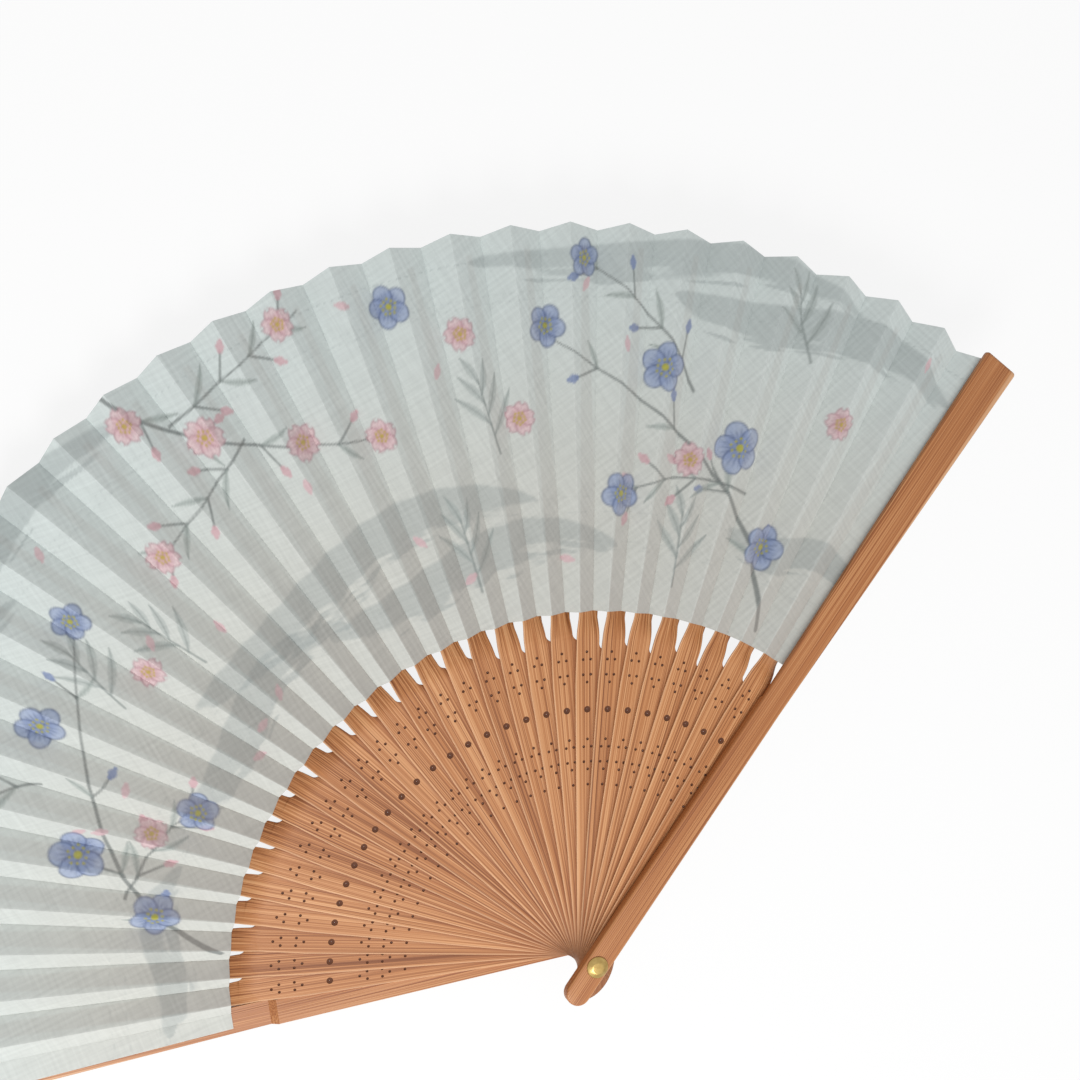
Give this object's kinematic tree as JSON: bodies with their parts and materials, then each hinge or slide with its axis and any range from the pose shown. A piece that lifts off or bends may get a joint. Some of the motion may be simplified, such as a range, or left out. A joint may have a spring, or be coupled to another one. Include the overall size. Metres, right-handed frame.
{
  "type": "folding fan",
  "caption": "Open bamboo folding fan: thin pierced ribs between two thick guards turn on one rivet and carry a pleated cloth leaf that folds shut with them.",
  "frame": {"origin": "on the pivot axis, at the flat underside of the rivet", "axes": "+Z along the pivot axis towards the front guard, +Y along the middle of the open fan, +X towards the front guard's side"},
  "size_m": [0.3692, 0.208, 0.0249],
  "materials": {
    "rib_bamboo": "smoked bamboo, planed, fine lengthwise grain, matt",
    "guard_bamboo": "smoked bamboo, burnished, satin",
    "leaf_cloth": "thin plain-woven cloth, sized and pleated, pale grey-green with a printed floral pattern",
    "rivet_brass": "turned and domed, satin"
  },
  "bodies": {
    "stick_00": {"guard_rear": "guard_bamboo", "pivot_rivet": "rivet_brass", "leaf_pleat_00": "leaf_cloth"},
    "stick_01": {"rib_01": "rib_bamboo", "leaf_pleat_01": "leaf_cloth"},
    "stick_02": {"rib_02": "rib_bamboo", "leaf_pleat_02": "leaf_cloth"},
    "stick_03": {"rib_03": "rib_bamboo", "leaf_pleat_03": "leaf_cloth"},
    "stick_04": {"rib_04": "rib_bamboo", "leaf_pleat_04": "leaf_cloth"},
    "stick_05": {"rib_05": "rib_bamboo", "leaf_pleat_05": "leaf_cloth"},
    "stick_06": {"rib_06": "rib_bamboo", "leaf_pleat_06": "leaf_cloth"},
    "stick_07": {"rib_07": "rib_bamboo", "leaf_pleat_07": "leaf_cloth"},
    "stick_08": {"rib_08": "rib_bamboo", "leaf_pleat_08": "leaf_cloth"},
    "stick_09": {"rib_09": "rib_bamboo", "leaf_pleat_09": "leaf_cloth"},
    "stick_10": {"rib_10": "rib_bamboo", "leaf_pleat_10": "leaf_cloth"},
    "stick_11": {"rib_11": "rib_bamboo", "leaf_pleat_11": "leaf_cloth"},
    "stick_12": {"rib_12": "rib_bamboo", "leaf_pleat_12": "leaf_cloth"},
    "stick_13": {"rib_13": "rib_bamboo", "leaf_pleat_13": "leaf_cloth"},
    "stick_14": {"rib_14": "rib_bamboo", "leaf_pleat_14": "leaf_cloth"},
    "stick_15": {"rib_15": "rib_bamboo", "leaf_pleat_15": "leaf_cloth"},
    "stick_16": {"rib_16": "rib_bamboo", "leaf_pleat_16": "leaf_cloth"},
    "stick_17": {"rib_17": "rib_bamboo", "leaf_pleat_17": "leaf_cloth"},
    "stick_18": {"rib_18": "rib_bamboo", "leaf_pleat_18": "leaf_cloth"},
    "stick_19": {"rib_19": "rib_bamboo", "leaf_pleat_19": "leaf_cloth"},
    "stick_20": {"rib_20": "rib_bamboo", "leaf_pleat_20": "leaf_cloth"},
    "stick_21": {"rib_21": "rib_bamboo", "leaf_pleat_21": "leaf_cloth"},
    "stick_22": {"rib_22": "rib_bamboo", "leaf_pleat_22": "leaf_cloth"},
    "stick_23": {"rib_23": "rib_bamboo", "leaf_pleat_23": "leaf_cloth"},
    "stick_24": {"rib_24": "rib_bamboo", "leaf_pleat_24": "leaf_cloth"},
    "stick_25": {"rib_25": "rib_bamboo", "leaf_pleat_25": "leaf_cloth"},
    "stick_26": {"rib_26": "rib_bamboo", "leaf_pleat_26": "leaf_cloth"},
    "stick_27": {"rib_27": "rib_bamboo", "leaf_pleat_27": "leaf_cloth"},
    "stick_28": {"rib_28": "rib_bamboo", "leaf_pleat_28": "leaf_cloth"},
    "stick_29": {"guard_front": "guard_bamboo"}
  },
  "joints": [
    {"name": "fold_01", "type": "hinge", "parent": "stick_00", "child": "stick_01", "pos_m": [0, 0, 0.0125], "axis": [0, 0, 1], "range_deg": [0, 4.6], "deforming": ["leaf_pleat_00"]},
    {"name": "fold_02", "type": "hinge", "parent": "stick_01", "child": "stick_02", "pos_m": [0, 0, 0.0125], "axis": [0, 0, 1], "range_deg": [0, 4.6], "deforming": ["leaf_pleat_01"]},
    {"name": "fold_03", "type": "hinge", "parent": "stick_02", "child": "stick_03", "pos_m": [0, 0, 0.0125], "axis": [0, 0, 1], "range_deg": [0, 4.6], "deforming": ["leaf_pleat_02"]},
    {"name": "fold_04", "type": "hinge", "parent": "stick_03", "child": "stick_04", "pos_m": [0, 0, 0.0125], "axis": [0, 0, 1], "range_deg": [0, 4.6], "deforming": ["leaf_pleat_03"]},
    {"name": "fold_05", "type": "hinge", "parent": "stick_04", "child": "stick_05", "pos_m": [0, 0, 0.0125], "axis": [0, 0, 1], "range_deg": [0, 4.6], "deforming": ["leaf_pleat_04"]},
    {"name": "fold_06", "type": "hinge", "parent": "stick_05", "child": "stick_06", "pos_m": [0, 0, 0.0125], "axis": [0, 0, 1], "range_deg": [0, 4.6], "deforming": ["leaf_pleat_05"]},
    {"name": "fold_07", "type": "hinge", "parent": "stick_06", "child": "stick_07", "pos_m": [0, 0, 0.0125], "axis": [0, 0, 1], "range_deg": [0, 4.6], "deforming": ["leaf_pleat_06"]},
    {"name": "fold_08", "type": "hinge", "parent": "stick_07", "child": "stick_08", "pos_m": [0, 0, 0.0125], "axis": [0, 0, 1], "range_deg": [0, 4.6], "deforming": ["leaf_pleat_07"]},
    {"name": "fold_09", "type": "hinge", "parent": "stick_08", "child": "stick_09", "pos_m": [0, 0, 0.0125], "axis": [0, 0, 1], "range_deg": [0, 4.6], "deforming": ["leaf_pleat_08"]},
    {"name": "fold_10", "type": "hinge", "parent": "stick_09", "child": "stick_10", "pos_m": [0, 0, 0.0125], "axis": [0, 0, 1], "range_deg": [0, 4.6], "deforming": ["leaf_pleat_09"]},
    {"name": "fold_11", "type": "hinge", "parent": "stick_10", "child": "stick_11", "pos_m": [0, 0, 0.0125], "axis": [0, 0, 1], "range_deg": [0, 4.6], "deforming": ["leaf_pleat_10"]},
    {"name": "fold_12", "type": "hinge", "parent": "stick_11", "child": "stick_12", "pos_m": [0, 0, 0.0125], "axis": [0, 0, 1], "range_deg": [0, 4.6], "deforming": ["leaf_pleat_11"]},
    {"name": "fold_13", "type": "hinge", "parent": "stick_12", "child": "stick_13", "pos_m": [0, 0, 0.0125], "axis": [0, 0, 1], "range_deg": [0, 4.6], "deforming": ["leaf_pleat_12"]},
    {"name": "fold_14", "type": "hinge", "parent": "stick_13", "child": "stick_14", "pos_m": [0, 0, 0.0125], "axis": [0, 0, 1], "range_deg": [0, 4.6], "deforming": ["leaf_pleat_13"]},
    {"name": "fold_15", "type": "hinge", "parent": "stick_14", "child": "stick_15", "pos_m": [0, 0, 0.0125], "axis": [0, 0, 1], "range_deg": [0, 4.6], "deforming": ["leaf_pleat_14"]},
    {"name": "fold_16", "type": "hinge", "parent": "stick_15", "child": "stick_16", "pos_m": [0, 0, 0.0125], "axis": [0, 0, 1], "range_deg": [0, 4.6], "deforming": ["leaf_pleat_15"]},
    {"name": "fold_17", "type": "hinge", "parent": "stick_16", "child": "stick_17", "pos_m": [0, 0, 0.0125], "axis": [0, 0, 1], "range_deg": [0, 4.6], "deforming": ["leaf_pleat_16"]},
    {"name": "fold_18", "type": "hinge", "parent": "stick_17", "child": "stick_18", "pos_m": [0, 0, 0.0125], "axis": [0, 0, 1], "range_deg": [0, 4.6], "deforming": ["leaf_pleat_17"]},
    {"name": "fold_19", "type": "hinge", "parent": "stick_18", "child": "stick_19", "pos_m": [0, 0, 0.0125], "axis": [0, 0, 1], "range_deg": [0, 4.6], "deforming": ["leaf_pleat_18"]},
    {"name": "fold_20", "type": "hinge", "parent": "stick_19", "child": "stick_20", "pos_m": [0, 0, 0.0125], "axis": [0, 0, 1], "range_deg": [0, 4.6], "deforming": ["leaf_pleat_19"]},
    {"name": "fold_21", "type": "hinge", "parent": "stick_20", "child": "stick_21", "pos_m": [0, 0, 0.0125], "axis": [0, 0, 1], "range_deg": [0, 4.6], "deforming": ["leaf_pleat_20"]},
    {"name": "fold_22", "type": "hinge", "parent": "stick_21", "child": "stick_22", "pos_m": [0, 0, 0.0125], "axis": [0, 0, 1], "range_deg": [0, 4.6], "deforming": ["leaf_pleat_21"]},
    {"name": "fold_23", "type": "hinge", "parent": "stick_22", "child": "stick_23", "pos_m": [0, 0, 0.0125], "axis": [0, 0, 1], "range_deg": [0, 4.6], "deforming": ["leaf_pleat_22"]},
    {"name": "fold_24", "type": "hinge", "parent": "stick_23", "child": "stick_24", "pos_m": [0, 0, 0.0125], "axis": [0, 0, 1], "range_deg": [0, 4.6], "deforming": ["leaf_pleat_23"]},
    {"name": "fold_25", "type": "hinge", "parent": "stick_24", "child": "stick_25", "pos_m": [0, 0, 0.0125], "axis": [0, 0, 1], "range_deg": [0, 4.6], "deforming": ["leaf_pleat_24"]},
    {"name": "fold_26", "type": "hinge", "parent": "stick_25", "child": "stick_26", "pos_m": [0, 0, 0.0125], "axis": [0, 0, 1], "range_deg": [0, 4.6], "deforming": ["leaf_pleat_25"]},
    {"name": "fold_27", "type": "hinge", "parent": "stick_26", "child": "stick_27", "pos_m": [0, 0, 0.0125], "axis": [0, 0, 1], "range_deg": [0, 4.6], "deforming": ["leaf_pleat_26"]},
    {"name": "fold_28", "type": "hinge", "parent": "stick_27", "child": "stick_28", "pos_m": [0, 0, 0.0125], "axis": [0, 0, 1], "range_deg": [0, 4.6], "deforming": ["leaf_pleat_27"]},
    {"name": "fold_29", "type": "hinge", "parent": "stick_28", "child": "stick_29", "pos_m": [0, 0, 0.0125], "axis": [0, 0, 1], "range_deg": [0, 4.6], "deforming": ["leaf_pleat_28"]}
  ],
  "couplings": [
    {"joint": "fold_02", "follows": "fold_01", "ratio": 1},
    {"joint": "fold_03", "follows": "fold_01", "ratio": 1},
    {"joint": "fold_04", "follows": "fold_01", "ratio": 1},
    {"joint": "fold_05", "follows": "fold_01", "ratio": 1},
    {"joint": "fold_06", "follows": "fold_01", "ratio": 1},
    {"joint": "fold_07", "follows": "fold_01", "ratio": 1},
    {"joint": "fold_08", "follows": "fold_01", "ratio": 1},
    {"joint": "fold_09", "follows": "fold_01", "ratio": 1},
    {"joint": "fold_10", "follows": "fold_01", "ratio": 1},
    {"joint": "fold_11", "follows": "fold_01", "ratio": 1},
    {"joint": "fold_12", "follows": "fold_01", "ratio": 1},
    {"joint": "fold_13", "follows": "fold_01", "ratio": 1},
    {"joint": "fold_14", "follows": "fold_01", "ratio": 1},
    {"joint": "fold_15", "follows": "fold_01", "ratio": 1},
    {"joint": "fold_16", "follows": "fold_01", "ratio": 1},
    {"joint": "fold_17", "follows": "fold_01", "ratio": 1},
    {"joint": "fold_18", "follows": "fold_01", "ratio": 1},
    {"joint": "fold_19", "follows": "fold_01", "ratio": 1},
    {"joint": "fold_20", "follows": "fold_01", "ratio": 1},
    {"joint": "fold_21", "follows": "fold_01", "ratio": 1},
    {"joint": "fold_22", "follows": "fold_01", "ratio": 1},
    {"joint": "fold_23", "follows": "fold_01", "ratio": 1},
    {"joint": "fold_24", "follows": "fold_01", "ratio": 1},
    {"joint": "fold_25", "follows": "fold_01", "ratio": 1},
    {"joint": "fold_26", "follows": "fold_01", "ratio": 1},
    {"joint": "fold_27", "follows": "fold_01", "ratio": 1},
    {"joint": "fold_28", "follows": "fold_01", "ratio": 1},
    {"joint": "fold_29", "follows": "fold_01", "ratio": 1}
  ]
}
